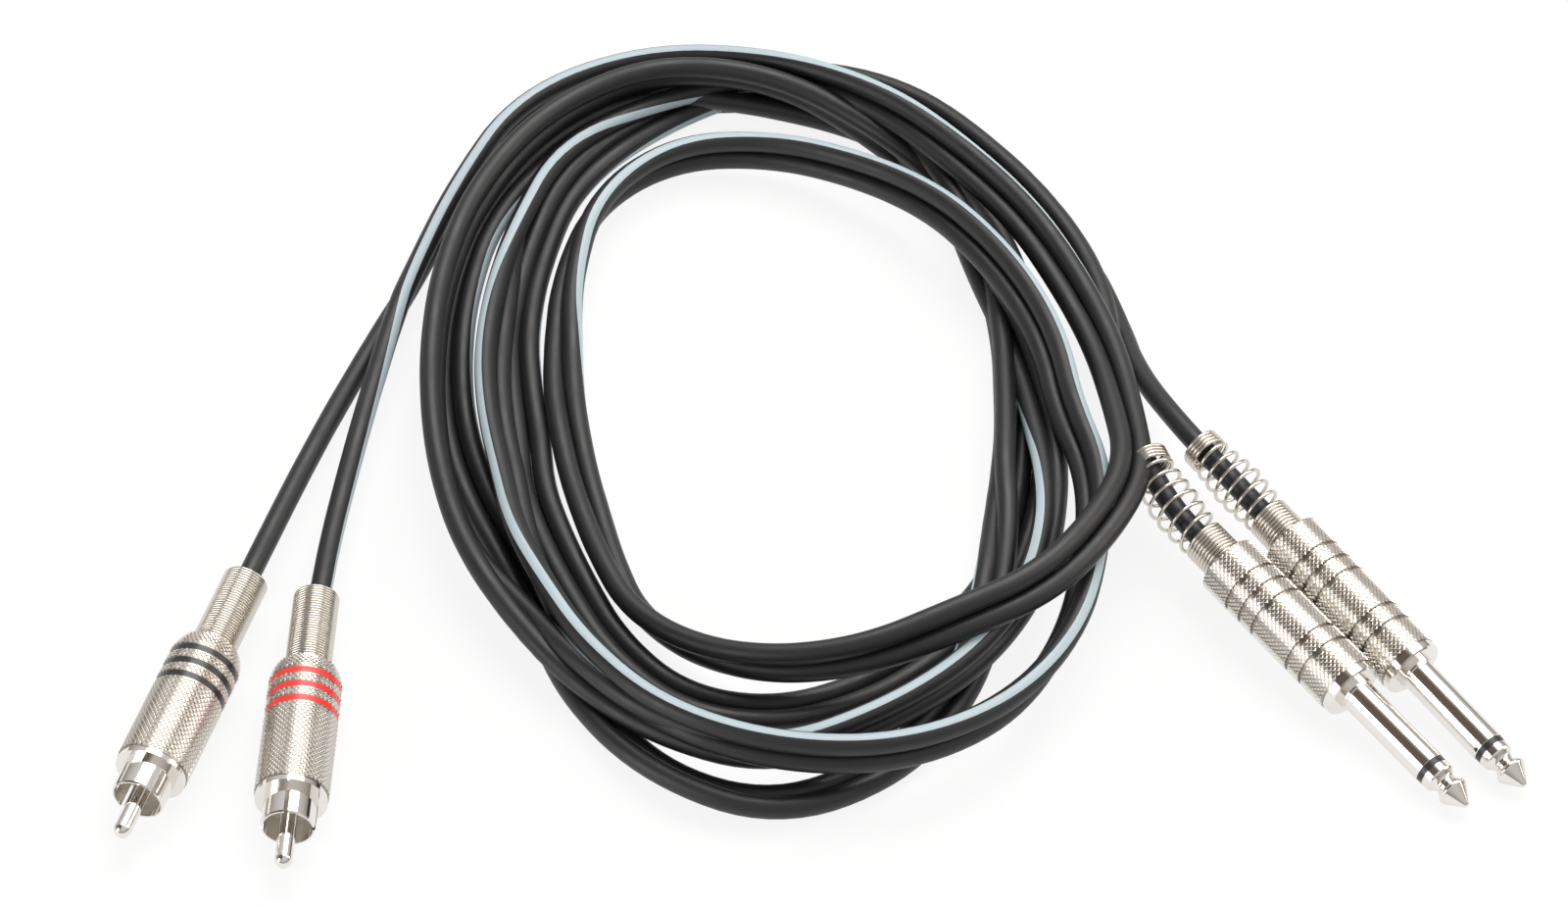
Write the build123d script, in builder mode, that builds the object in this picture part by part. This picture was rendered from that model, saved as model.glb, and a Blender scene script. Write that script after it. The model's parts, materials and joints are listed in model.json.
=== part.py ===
from build123d import *
import os
from math import acos, atan2, cos, degrees, hypot, pi, radians, sin, tan

# Instrument cable: a twin cord with two phono plugs at one end and two quarter-inch
# jack plugs at the other. Millimetres, +Z up, the surface that it lies on is Z = 0.
# A plug is drawn along its own X axis: a phono plug from its contact ring's mouth,
# a jack plug from its apex. X grows towards the tip, so what lies behind is negative.

# Fits
turning_fit = 0.10      # radial, between pieces that turn or slide on each other
face_gap = 0.05         # between end faces of pieces that move apart
grip_gap = 0.05         # between the cord's jacket and the claws that hold it
edge_break = 0.3        # rounded or chamfered rims that a hand or a socket meets
fine_break = 0.1        # chamfers on turned shoulders

# Cord
cord_radius = 2.05
core_radius = 0.65
shield_radius = 0.6

# Screw thread that closes a shell on its stub
thread_pitch = 0.75
thread_turns = 6
phono_thread_relief = 2.0
jack_thread_relief = 2.5

# Phono plug
phono_pin_radius = 1.6
phono_pin_seat_radius = 1.35
phono_pin_reach = 8.4
phono_pin_tail = 4.0
phono_cup_radius = 0.75
phono_cup_depth = 2.8
phono_ring_radius = 4.8
phono_ring_bore = 4.35
phono_ring_length = 5.9
phono_slot_count = 4
phono_slot_width = 0.8
phono_slot_length = 5.0
phono_flange_radius = 6.4
phono_flange_width = 1.0
phono_stub_radius = 5.0
phono_hub_radius = 3.2
phono_face_width = 1.0
phono_hub_tail = 1.0
phono_shell_radius = 6.5
phono_shell_length = 28.8
phono_shell_end_wall = 2.0
phono_shoulder_radius = 4.9
phono_shoulder_length = 4.2
phono_band_count = 3
phono_band_width = 1.3
phono_band_pitch = 3.2
phono_band_depth = 0.3
phono_band_start = 16.8
phono_spring_radius = 4.3
phono_spring_wire = 0.7
phono_spring_length = 17.3
phono_jacket_end = 21.0
phono_lead_bend = 54.0    # where the lead's first bend is centred

# Quarter-inch jack plug
jack_apex_radius = 0.8
jack_ball_radius = 2.95
jack_ball_at = 3.9
jack_crown_half_width = 0.4
jack_crown_drop = 0.15
jack_neck_at = 5.9
jack_neck_radius = 1.75   # where its two cones would meet
jack_neck_round = 1.0
jack_collar_at = 7.0
jack_collar_radius = 3.0
jack_ring_at = 8.7
jack_ring_width = 1.2
jack_shaft_radius = 3.175
jack_shaft_bore = 2.0
jack_rod_radius = 1.1
jack_boss_radius = 3.5
jack_boss_width = 1.1
jack_flange_at = 30.0
jack_flange_radius = 5.8
jack_flange_width = 1.7
jack_stub_radius = 5.2
jack_washer_radius = 3.4
jack_washer_width = 1.0
jack_lug_radius = 2.7
jack_lug_width = 0.4
jack_lug_length = 5.0
jack_lug_breadth = 2.0
jack_rivet_radius = 1.7
jack_rivet_width = 0.6
jack_barrel_radius = 5.85
jack_barrel_length = 32.8
jack_barrel_end_wall = 1.8
jack_groove_width = 0.8
jack_groove_depth = 0.3
jack_groove_places = (6.3, 9.9, 19.3, 22.7, 26.2)
jack_liner_wall = 0.5
jack_liner_length = 17.0
jack_liner_start = 9.5
jack_spring_radius = 4.2
jack_spring_wire = 0.7
jack_spring_front = 6.5
jack_spring_open = 16.5
jack_spring_turns = 6
jack_spring_rear = 3.2
jack_spring_steps = 12    # path points in a turn
jack_jacket_end = 50.0

# Cord clamp, bent from sheet
clamp_sheet = 0.6
clamp_eye_radius = 4.4
clamp_breadth = 3.6
clamp_joggle = 1.5
clamp_claw_setback = 1.0
clamp_claw_length = 3.5
clamp_claw_opening = 70   # degrees
clamp_solder_length = 2.5
phono_clamp_drop = 3.3
phono_clamp_reach = 5.0
jack_clamp_drop = 3.6
jack_clamp_reach = 8.0

# Coil of the twin cord
coil_layers = 2
coil_centre = (-8.8, 66.5)
coil_half_width = 65.0
coil_half_length = 99.0
coil_lean = 7.0           # degrees
opening_centre = (-6.4, 65.5)
opening_half_width = 40.0
opening_half_length = 64.5

# Sizes that follow
thread_length = thread_pitch * thread_turns
phono_flange_back = phono_ring_length + phono_flange_width
phono_stub_end = phono_flange_back + thread_length + phono_thread_relief
phono_hub_end = phono_stub_end + phono_hub_tail
phono_bore_radius = phono_stub_radius + turning_fit
phono_shell_front = phono_flange_back + face_gap
phono_shell_back = phono_flange_back + phono_shell_length
phono_shell_inside = phono_shell_back - phono_shell_end_wall
jack_flange_back = jack_flange_at + jack_flange_width
jack_stub_end = jack_flange_back + thread_length + jack_thread_relief
jack_bore_radius = jack_stub_radius + turning_fit
jack_barrel_front = jack_flange_back + face_gap
jack_barrel_back = jack_flange_back + jack_barrel_length
jack_barrel_inside = jack_barrel_back - jack_barrel_end_wall
jack_washer_at = jack_stub_end + clamp_sheet
jack_lug_at = jack_washer_at + jack_washer_width
jack_rod_end = jack_lug_at + jack_lug_width + jack_rivet_width
jack_dip = atan2(jack_flange_radius - jack_ball_radius, jack_flange_at - jack_ball_at)
jack_apex_height = jack_ball_radius * cos(jack_dip) - jack_ball_at * sin(jack_dip)
coil_height = coil_layers * 2 * cord_radius


def plug_plane(x, y, height, azimuth, dip=0.0, roll=0.0):
    """The frame of a plug: X towards its tip, Y across it and upward before any roll."""
    heading, turned = radians(azimuth), radians(roll)
    forward = Vector(cos(heading) * cos(dip), sin(heading) * cos(dip), -sin(dip))
    upward = Vector(cos(heading) * sin(dip), sin(heading) * sin(dip), cos(dip))
    aside = forward.cross(upward)
    return Plane((x, y, height), x_dir=forward, z_dir=aside * cos(turned) - upward * sin(turned))


def axis_of(plug):
    return Axis(plug.origin, plug.x_dir)


def across(plug, station):
    """The plane square to the plug's axis at a distance behind its reference point."""
    return Plane(plug.from_local_coords((-station, 0, 0)), x_dir=plug.y_dir, z_dir=plug.x_dir)


def keep(piece, name):
    piece.part.label = name
    export_step(piece.part, f"parts/{name}.step")
    return piece


# Phono plug, piece by piece

def phono_contact_ring(plug, name):
    """Outer contact, flange and threaded stub, turned in one, with slots in its ring."""
    with BuildPart() as ring:
        with BuildSketch(plug):
            with BuildLine():
                Polyline(
                    (0, phono_ring_bore),
                    (0, phono_ring_radius - edge_break / 2),
                    (-edge_break, phono_ring_radius),
                    (-phono_ring_length, phono_ring_radius),
                    (-phono_ring_length, phono_flange_radius),
                    (-phono_flange_back, phono_flange_radius),
                    (-phono_flange_back, phono_stub_radius),
                    (-phono_stub_end, phono_stub_radius),
                    (-phono_stub_end, phono_hub_radius),
                    (-phono_ring_length, phono_hub_radius),
                    (-phono_ring_length, phono_ring_bore),
                    close=True,
                )
            make_face()
        revolve(axis=axis_of(plug))
        with BuildSketch(across(plug, 0)):
            with PolarLocations(phono_ring_radius, phono_slot_count):
                Rectangle(phono_ring_radius, phono_slot_width)
        extrude(amount=-phono_slot_length, mode=Mode.SUBTRACT)
    return keep(ring, name)


def phono_insulator(plug, name):
    """Stepped plastic bush that holds the pin in the middle of the ring."""
    with BuildPart() as bush:
        with BuildSketch(plug):
            with BuildLine():
                Polyline(
                    (phono_face_width - phono_ring_length, phono_pin_seat_radius),
                    (phono_face_width - phono_ring_length, phono_ring_bore),
                    (-phono_ring_length, phono_ring_bore),
                    (-phono_ring_length, phono_hub_radius),
                    (-phono_hub_end, phono_hub_radius),
                    (-phono_hub_end, phono_pin_seat_radius),
                    close=True,
                )
            make_face()
        revolve(axis=axis_of(plug))
    return keep(bush, name)


def phono_centre_pin(plug, name):
    """Centre contact: a round-nosed pin whose tail is drilled as a solder cup."""
    with BuildPart() as pin:
        with BuildSketch(plug):
            with BuildLine():
                nose = phono_pin_reach - phono_pin_radius
                tail = -phono_hub_end - phono_pin_tail
                CenterArc((nose, 0), phono_pin_radius, 0, 90)
                Polyline(
                    (nose, phono_pin_radius),
                    (phono_face_width - phono_ring_length, phono_pin_radius),
                    (phono_face_width - phono_ring_length, phono_pin_seat_radius),
                    (tail, phono_pin_seat_radius),
                    (tail, phono_cup_radius),
                    (tail + phono_cup_depth, phono_cup_radius),
                    (tail + phono_cup_depth, 0),
                    (phono_pin_reach, 0),
                )
            make_face()
        revolve(axis=axis_of(plug))
    return keep(pin, name)


def phono_shell(plug, name):
    """Screw-on shell with a rounded shoulder, three grooves and a hole for the spring."""
    shoulder_start = phono_shell_back - phono_shoulder_length
    with BuildPart() as shell:
        with BuildSketch(plug):
            with BuildLine():
                Polyline(
                    (-shoulder_start, phono_shell_radius),
                    (-phono_shell_front, phono_shell_radius),
                    (-phono_shell_front, phono_bore_radius),
                    (-phono_shell_inside, phono_bore_radius),
                    (-phono_shell_inside, phono_spring_radius + turning_fit),
                    (-phono_shell_back, phono_spring_radius + turning_fit),
                    (-phono_shell_back, phono_shoulder_radius),
                )
                TangentArc(
                    (-shoulder_start, phono_shell_radius),
                    (-phono_shell_back, phono_shoulder_radius),
                    tangent=(-1, 0),
                )
            make_face()
            for band in range(phono_band_count):
                near = phono_flange_back + phono_band_start + band * phono_band_pitch
                with Locations((-near - phono_band_width / 2, phono_shell_radius)):
                    Rectangle(phono_band_width, 2 * phono_band_depth, mode=Mode.SUBTRACT)
        revolve(axis=axis_of(plug))
    return keep(shell, name)


def phono_colour_bands(plug, name):
    """Enamelled bands that fill the shell's grooves and tell the channels apart."""
    with BuildPart() as bands:
        with BuildSketch(plug):
            for band in range(phono_band_count):
                near = phono_flange_back + phono_band_start + band * phono_band_pitch
                middle = phono_shell_radius - phono_band_depth / 2
                with Locations((-near - phono_band_width / 2, middle)):
                    Rectangle(phono_band_width, phono_band_depth)
        revolve(axis=axis_of(plug))
    return keep(bands, name)


def phono_spring(plug, name):
    """Close-wound strain relief, its first turn flared so that the shell holds it."""
    flare = phono_shell_inside - face_gap
    end = phono_shell_back + phono_spring_length
    with BuildPart() as spring:
        with BuildSketch(plug):
            with BuildLine():
                Polyline(
                    (phono_spring_wire - flare, phono_spring_radius - phono_spring_wire),
                    (phono_spring_wire - flare, phono_stub_radius),
                    (-flare, phono_stub_radius),
                    (-flare, phono_spring_radius),
                    (-end, phono_spring_radius),
                    (-end, phono_spring_radius - phono_spring_wire),
                    close=True,
                )
            make_face()
        revolve(axis=axis_of(plug))
    return keep(spring, name)


# Jack plug, piece by piece

def jack_tip(plug, name):
    """Tip contact: point, ball, neck and collar, on a rod riveted behind the tip lug."""
    rim = jack_ball_radius - jack_crown_drop
    run = jack_apex_radius + jack_crown_half_width - jack_ball_at
    cone_touch = degrees(atan2(rim, run) - acos(jack_apex_radius / hypot(rim, run)))
    with BuildPart() as tip:
        with BuildSketch(plug):
            with BuildLine():
                cap = CenterArc((-jack_apex_radius, 0), jack_apex_radius, 0, cone_touch)
                cone = Line(cap @ 1, (jack_crown_half_width - jack_ball_at, rim))
                ball = ThreePointArc(
                    cone @ 1,
                    (-jack_ball_at, jack_ball_radius),
                    (-jack_crown_half_width - jack_ball_at, rim),
                )
                neck = FilletPolyline(
                    ball @ 1,
                    (-jack_neck_at, jack_neck_radius),
                    (-jack_collar_at, jack_collar_radius - edge_break / 2),
                    radius=jack_neck_round,
                )
                Polyline(
                    neck @ 1,
                    (-jack_collar_at - edge_break, jack_collar_radius),
                    (-jack_ring_at, jack_collar_radius),
                    (-jack_ring_at, jack_rod_radius),
                    (jack_rivet_width - jack_rod_end, jack_rod_radius),
                    (jack_rivet_width - jack_rod_end, jack_rivet_radius),
                    (-jack_rod_end, jack_rivet_radius),
                    (-jack_rod_end, 0),
                    (0, 0),
                )
            make_face()
        revolve(axis=axis_of(plug))
    return keep(tip, name)


def jack_insulator(plug, name):
    """Black ring behind the collar and the tube that runs through the shaft, in one."""
    ring_back = jack_ring_at + jack_ring_width
    with BuildPart() as insulator:
        with BuildSketch(plug):
            with BuildLine():
                Polyline(
                    (-jack_ring_at, jack_rod_radius),
                    (-jack_ring_at, jack_collar_radius),
                    (-ring_back, jack_collar_radius),
                    (-ring_back, jack_shaft_bore),
                    (-jack_washer_at, jack_shaft_bore),
                    (-jack_washer_at, jack_rod_radius),
                    close=True,
                )
            make_face()
        revolve(axis=axis_of(plug))
    return keep(insulator, name)


def jack_sleeve(plug, name):
    """Shaft, boss, flange and threaded stub, turned in one."""
    ring_back = jack_ring_at + jack_ring_width
    with BuildPart() as sleeve:
        with BuildSketch(plug):
            with BuildLine():
                Polyline(
                    (-ring_back, jack_shaft_bore),
                    (-ring_back, jack_shaft_radius - fine_break),
                    (-ring_back - fine_break, jack_shaft_radius),
                    (jack_boss_width - jack_flange_at, jack_shaft_radius),
                    (jack_boss_width - jack_flange_at, jack_boss_radius),
                    (-jack_flange_at, jack_boss_radius),
                    (-jack_flange_at, jack_flange_radius - edge_break),
                    (-jack_flange_at - edge_break, jack_flange_radius),
                    (-jack_flange_back, jack_flange_radius),
                    (-jack_flange_back, jack_stub_radius),
                    (-jack_stub_end, jack_stub_radius),
                    (-jack_stub_end, jack_shaft_bore),
                    close=True,
                )
            make_face()
        revolve(axis=axis_of(plug))
    return keep(sleeve, name)


def jack_rear_washer(plug, name):
    """Insulating washer between the cord clamp and the tip lug."""
    with BuildPart() as washer:
        with BuildSketch(across(plug, jack_washer_at)):
            Circle(jack_washer_radius)
            Circle(jack_rod_radius, mode=Mode.SUBTRACT)
        extrude(amount=-jack_washer_width)
    return keep(washer, name)


def jack_tip_lug(plug, name):
    """Solder lug of the tip: an eye under the rivet, with its tab bent backward."""
    reach = jack_lug_at + jack_lug_length
    with BuildPart() as lug:
        with BuildSketch(across(plug, jack_lug_at)):
            Circle(jack_lug_radius)
            Circle(jack_rod_radius, mode=Mode.SUBTRACT)
        extrude(amount=-jack_lug_width)
        with BuildSketch(plug):
            with Locations((-(jack_lug_at + reach) / 2, jack_lug_radius - jack_lug_width / 2)):
                Rectangle(reach - jack_lug_at, jack_lug_width)
        extrude(amount=jack_lug_breadth / 2, both=True)
    return keep(lug, name)


def jack_barrel(plug, name):
    """Screw-on barrel with plain grooves and a hole that holds the spring in."""
    with BuildPart() as barrel:
        with BuildSketch(plug):
            with BuildLine():
                Polyline(
                    (-jack_barrel_front, jack_bore_radius),
                    (-jack_barrel_front, jack_barrel_radius),
                    (edge_break - jack_barrel_back, jack_barrel_radius),
                    (-jack_barrel_back, jack_barrel_radius - edge_break),
                    (-jack_barrel_back, jack_spring_radius + turning_fit),
                    (-jack_barrel_inside, jack_spring_radius + turning_fit),
                    (-jack_barrel_inside, jack_bore_radius),
                    close=True,
                )
            make_face()
            for place in jack_groove_places:
                with Locations((-jack_flange_back - place, jack_barrel_radius)):
                    Rectangle(jack_groove_width, 2 * jack_groove_depth, mode=Mode.SUBTRACT)
        revolve(axis=axis_of(plug))
    return keep(barrel, name)


def jack_liner(plug, name):
    """Plastic tube that keeps the solder joints off the barrel's wall."""
    start = jack_flange_back + jack_liner_start
    with BuildPart() as liner:
        with BuildSketch(across(plug, start)):
            Circle(jack_bore_radius)
            Circle(jack_bore_radius - jack_liner_wall, mode=Mode.SUBTRACT)
        extrude(amount=-jack_liner_length)
    return keep(liner, name)


def bent_line(plug, start, along, length, bend):
    """The plane square to a spring that leaves the plug's axis on an arc, behind start."""
    turned = radians(bend) * along / length
    if turned:
        back = along * sin(turned) / turned
        aside = along * (1 - cos(turned)) / turned
    else:
        back, aside = along, 0
    origin = plug.from_local_coords((-start - back, 0, -aside))
    forward = plug.from_local_coords((cos(turned), 0, sin(turned))) - plug.origin
    return Plane(origin, x_dir=plug.y_dir, z_dir=forward)


def jack_spring(plug, name, bend):
    """Strain relief spring: close turns in the barrel's end, open ones, a close tail."""
    flare = jack_barrel_inside - face_gap
    open_start = jack_barrel_back + jack_spring_front
    inner = jack_spring_radius - jack_spring_wire
    middle = jack_spring_radius - jack_spring_wire / 2
    count = jack_spring_turns * jack_spring_steps
    path = []
    for step in range(count + 1):
        along = jack_spring_open * step / count
        turn = 2 * pi * step / jack_spring_steps
        square = bent_line(plug, open_start, along, jack_spring_open, bend)
        path.append(square.from_local_coords((middle * cos(turn), middle * sin(turn), 0)))
    with BuildPart() as spring:
        with BuildSketch(plug):
            with BuildLine():
                Polyline(
                    (jack_spring_wire - flare, inner),
                    (jack_spring_wire - flare, jack_stub_radius),
                    (-flare, jack_stub_radius),
                    (-flare, jack_spring_radius),
                    (-open_start, jack_spring_radius),
                    (-open_start, inner),
                    close=True,
                )
            make_face()
        revolve(axis=axis_of(plug))
        with BuildLine():
            turns = Spline(*path)
        with BuildSketch(Plane(turns @ 0, z_dir=turns % 0)):
            RegularPolygon(jack_spring_wire / 2, 6)
        sweep(path=turns)
        with BuildSketch(bent_line(plug, open_start, jack_spring_open, jack_spring_open, bend)):
            Circle(jack_spring_radius)
            Circle(inner, mode=Mode.SUBTRACT)
        extrude(amount=-jack_spring_rear)
    return keep(spring, name)


# Pieces that both kinds of plug hold inside

def cord_clamp(plug, name, seat, hole, drop, strip_end):
    """Ground lug: an eye on the stub, a strip that drops to the jacket and round claws."""
    level = cord_radius + grip_gap
    claw_start = strip_end + clamp_joggle + clamp_claw_setback
    fold = clamp_sheet * tan(atan2(drop - level, clamp_joggle) / 2)
    claw_end = claw_start + clamp_claw_length
    with BuildPart() as clamp:
        with BuildSketch(across(plug, seat)):
            Circle(clamp_eye_radius)
            Circle(hole, mode=Mode.SUBTRACT)
        extrude(amount=-clamp_sheet)
        with BuildSketch(plug):
            with BuildLine():
                Polyline(
                    (-seat, -drop),
                    (-strip_end, -drop),
                    (-strip_end - clamp_joggle, -level),
                    (-claw_end, -level),
                    (-claw_end, -level - clamp_sheet),
                    (-strip_end - clamp_joggle - fold, -level - clamp_sheet),
                    (-strip_end - fold, -drop - clamp_sheet),
                    (-seat, -drop - clamp_sheet),
                    close=True,
                )
            make_face()
        extrude(amount=clamp_breadth / 2, both=True)
        with BuildSketch(across(plug, claw_start)):
            Circle(level + clamp_sheet)
            Circle(level, mode=Mode.SUBTRACT)
            with Locations((level, 0)):
                opening = 2 * level * tan(radians(clamp_claw_opening / 2))
                Rectangle(2 * level, opening, mode=Mode.SUBTRACT)
        extrude(amount=-clamp_claw_length)
    return keep(clamp, name)


def straight_wire(plug, start, end, radius):
    """A round wire from one place in the plug to another."""
    begin = plug.from_local_coords(start)
    run = plug.from_local_coords(end) - begin
    with BuildPart() as wire:
        with BuildSketch(Plane(begin, z_dir=run)):
            Circle(radius)
        extrude(amount=run.length)
    return wire.part


def plug_wires(plug, name, jacket_end, core_end, shield_end, clamp):
    """Core and twisted shield, from the end of the jacket to where they are soldered."""
    bared = shield_radius / 2 - jacket_end
    core = straight_wire(plug, (bared, 0, 0), core_end, core_radius)
    shield_edge = shield_radius - cord_radius
    shield = straight_wire(plug, (bared, shield_edge, 0), shield_end, shield_radius)
    with BuildPart() as wires:
        add(shield)
        add(clamp.part, mode=Mode.SUBTRACT)
        add(core)
    return keep(wires, name)


# The cord

def corner_radii(points):
    """An arc for each corner, as large as the shorter of its two runs allows."""
    runs = [points[i + 1] - points[i] for i in range(len(points) - 1)]
    radii = []
    for before, after in zip(runs, runs[1:]):
        turn = radians(before.get_angle(after))
        radii.append(0.45 * min(before.length, after.length) / tan(turn / 2))
    return radii


def cord_lead(points, name):
    """One conductor along its route, from inside its plug to the coil."""
    radii = corner_radii(points)
    with BuildPart() as lead:
        with BuildLine() as route:
            FilletPolyline(*points, radius=radii)
        with BuildSketch(Plane(route.wire() @ 0, z_dir=route.wire() % 0)):
            Circle(cord_radius)
        sweep(path=route.wire())
    length = route.wire().length
    section = Face(Wire.make_circle(cord_radius)).area
    print(name, "radii", [round(radius) for radius in radii], "length", round(length, 1),
          "volume over section x length", round(lead.part.volume / (length * section), 4))
    return keep(lead, name)


def cord_coil(name):
    """The outer shape of the loose coil: an oval ring, longer than it is wide."""
    with BuildPart() as coil:
        with BuildSketch():
            with Locations(coil_centre):
                Ellipse(coil_half_width, coil_half_length, rotation=coil_lean)
            with Locations(opening_centre):
                Ellipse(opening_half_width, opening_half_length, rotation=coil_lean,
                        mode=Mode.SUBTRACT)
        extrude(amount=coil_height)
        chamfer(coil.faces().sort_by(Axis.Z)[-1].edges(), cord_radius)
    return keep(coil, name)


os.makedirs("parts", exist_ok=True)

# Phono plugs lie on their shells
phono_plugs = {
    "phono_black": plug_plane(-119.74, -33.18, phono_shell_radius, -106.7, roll=45),
    "phono_red": plug_plane(-93.04, -39.48, phono_shell_radius, -91.7),
}
for name, plug in phono_plugs.items():
    phono_contact_ring(plug, f"{name}_contact_ring")
    phono_insulator(plug, f"{name}_insulator")
    phono_centre_pin(plug, f"{name}_centre_pin")
    phono_shell(plug, f"{name}_shell")
    phono_colour_bands(plug, f"{name}_colour_bands")
    phono_spring(plug, f"{name}_spring")
    strip_end = phono_stub_end + clamp_sheet + phono_clamp_reach
    clamp = cord_clamp(plug, f"{name}_cord_clamp", phono_stub_end, phono_hub_radius,
                       phono_clamp_drop, strip_end)
    cup_floor = phono_hub_end + phono_pin_tail - phono_cup_depth
    plug_wires(plug, f"{name}_wires", phono_jacket_end, (-cup_floor, 0, 0),
               (clamp_solder_length - strip_end, -phono_clamp_drop, 0), clamp)

# Jack plugs rest on the ball of the tip and the edge of the flange
jack_plugs = {
    "jack_1": plug_plane(113.31, -31.49, jack_apex_height, -51.87, jack_dip),
    "jack_2": plug_plane(123.93, -27.01, jack_apex_height, -53.36, jack_dip),
}
jack_spring_bends = {"jack_1": 18, "jack_2": 0}
for name, plug in jack_plugs.items():
    jack_tip(plug, f"{name}_tip")
    jack_insulator(plug, f"{name}_insulator")
    jack_sleeve(plug, f"{name}_sleeve")
    jack_rear_washer(plug, f"{name}_rear_washer")
    jack_tip_lug(plug, f"{name}_tip_lug")
    jack_barrel(plug, f"{name}_barrel")
    jack_liner(plug, f"{name}_liner")
    jack_spring(plug, f"{name}_spring", jack_spring_bends[name])
    strip_end = jack_stub_end + clamp_sheet + jack_clamp_reach
    clamp = cord_clamp(plug, f"{name}_cord_clamp", jack_stub_end, jack_shaft_bore,
                       jack_clamp_drop, strip_end)
    tab_end = jack_lug_at + jack_lug_length
    tab_underside = jack_lug_radius - jack_lug_width
    plug_wires(plug, f"{name}_wires", jack_jacket_end,
               (core_radius - tab_end, tab_underside - core_radius, 0),
               (clamp_solder_length - strip_end, -jack_clamp_drop, 0), clamp)

# Each lead starts at the end of its jacket inside the plug and dives into the coil
phono_black, phono_red = phono_plugs["phono_black"], phono_plugs["phono_red"]
jack_1, jack_2 = jack_plugs["jack_1"], jack_plugs["jack_2"]
cord_lead([
    phono_black.from_local_coords((-phono_jacket_end, 0, 0)),
    phono_black.from_local_coords((-phono_lead_bend, 0, 0)),
    Vector(-94.2, 52.5, 5.6),
    Vector(-84.4, 82.0, 3.4),
    Vector(-75.2, 105.0, 2.7),
    Vector(-61.7, 125.5, 2.5),
], "phono_black_lead")
cord_lead([
    phono_red.from_local_coords((-phono_jacket_end, 0, 0)),
    phono_red.from_local_coords((-phono_lead_bend, 0, 0)),
    Vector(-86.8, 51.0, 6.6),
    Vector(-81.2, 84.5, 7.2),
    Vector(-71.2, 108.5, 7.1),
    Vector(-58.7, 128.5, 7.0),
], "phono_red_lead")
cord_lead([
    jack_1.from_local_coords((-jack_jacket_end, 0, 0)),
    jack_1.from_local_coords((-66, -0.3, 0)),
    jack_1.from_local_coords((-81, 0, 0)),
    jack_1.from_local_coords((-98.1, -0.8, -5.7)),
    Vector(57.0, 69.5, 8.6),
    Vector(55.8, 88.5, 7.2),
    Vector(49.3, 107.5, 6.4),
    Vector(37.8, 122.5, 6.2),
], "jack_1_lead")
cord_lead([
    jack_2.from_local_coords((-jack_jacket_end, 0, 0)),
    jack_2.from_local_coords((-72, -0.3, 0)),
    jack_2.from_local_coords((-95.4, 0, 0)),
    Vector(62.1, 68.0, 8.0),
    Vector(58.8, 85.5, 3.2),
    Vector(51.8, 105.5, 2.3),
    Vector(39.4, 122.3, 2.3),
], "jack_2_lead")
cord_coil("cord_coil")
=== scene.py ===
import json
from math import cos, pi, radians, sin

import bmesh
import bpy
import numpy as np
from mathutils import Matrix, Vector

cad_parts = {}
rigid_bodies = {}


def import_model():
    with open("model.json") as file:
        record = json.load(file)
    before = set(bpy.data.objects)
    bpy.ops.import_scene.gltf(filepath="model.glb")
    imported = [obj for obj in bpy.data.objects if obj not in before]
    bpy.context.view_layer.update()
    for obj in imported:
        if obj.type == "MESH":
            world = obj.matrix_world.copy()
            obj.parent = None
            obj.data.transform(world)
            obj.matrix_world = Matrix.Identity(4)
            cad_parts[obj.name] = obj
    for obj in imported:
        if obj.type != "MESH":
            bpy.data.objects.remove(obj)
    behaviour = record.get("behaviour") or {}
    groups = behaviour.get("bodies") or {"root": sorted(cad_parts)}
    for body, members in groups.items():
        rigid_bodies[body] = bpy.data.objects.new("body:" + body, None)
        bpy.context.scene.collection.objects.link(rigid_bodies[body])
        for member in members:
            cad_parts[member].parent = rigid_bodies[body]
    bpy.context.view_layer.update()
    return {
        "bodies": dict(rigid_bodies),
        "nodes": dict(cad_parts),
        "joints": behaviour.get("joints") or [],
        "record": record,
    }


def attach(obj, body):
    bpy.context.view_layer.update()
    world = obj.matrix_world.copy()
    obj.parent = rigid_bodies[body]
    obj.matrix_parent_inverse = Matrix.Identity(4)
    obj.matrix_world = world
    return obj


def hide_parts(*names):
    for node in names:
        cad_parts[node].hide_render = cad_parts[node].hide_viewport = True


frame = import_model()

nodes = frame["nodes"]


# ---- Camera ----
# A long lens looks down on the coiled cable from the front, with the phono plugs
# at the lower left and the jack plugs at the lower right.
camera = bpy.data.objects.new("camera", bpy.data.cameras.new("camera"))
camera.data.sensor_width = 36.0
camera.data.lens = 109.8
camera.location = (-0.00674, -0.55301, 0.66355)
camera.rotation_euler = (radians(42.5), 0.0, 0.0)
camera.data.clip_start = 0.05
bpy.context.scene.collection.objects.link(camera)
bpy.context.scene.camera = camera


# ---- Floor, lamps and world ----
# A matt white tabletop that shows as plain white to the eye and in the nickel, with
# a faint shadow under the cable, lit by soft boxes and a pale room.
def linear(code, alpha=1.0):
    """An sRGB hex colour as Blender's linear colour."""
    parts = [int(code[i:i + 2], 16) / 255 for i in (1, 3, 5)]
    return (*[c / 12.92 if c <= 0.04045 else ((c + 0.055) / 1.055) ** 2.4 for c in parts], alpha)


def add(tree, kind, inputs=None, **settings):
    """Adds a node, makes its settings, then fills or links its inputs by name or number."""
    node = tree.nodes.new(kind)
    for name, value in settings.items():
        setattr(node, name, value)
    for key, value in (inputs or {}).items():
        if isinstance(value, bpy.types.NodeSocket):
            tree.links.new(value, node.inputs[key])
        else:
            node.inputs[key].default_value = value
    return node


def new_finish(name):
    """A material with an empty tree, and its output node."""
    material = bpy.data.materials.new(name)
    material.use_nodes = True
    material.node_tree.nodes.clear()
    return material, material.node_tree, add(material.node_tree, "ShaderNodeOutputMaterial")


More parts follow.
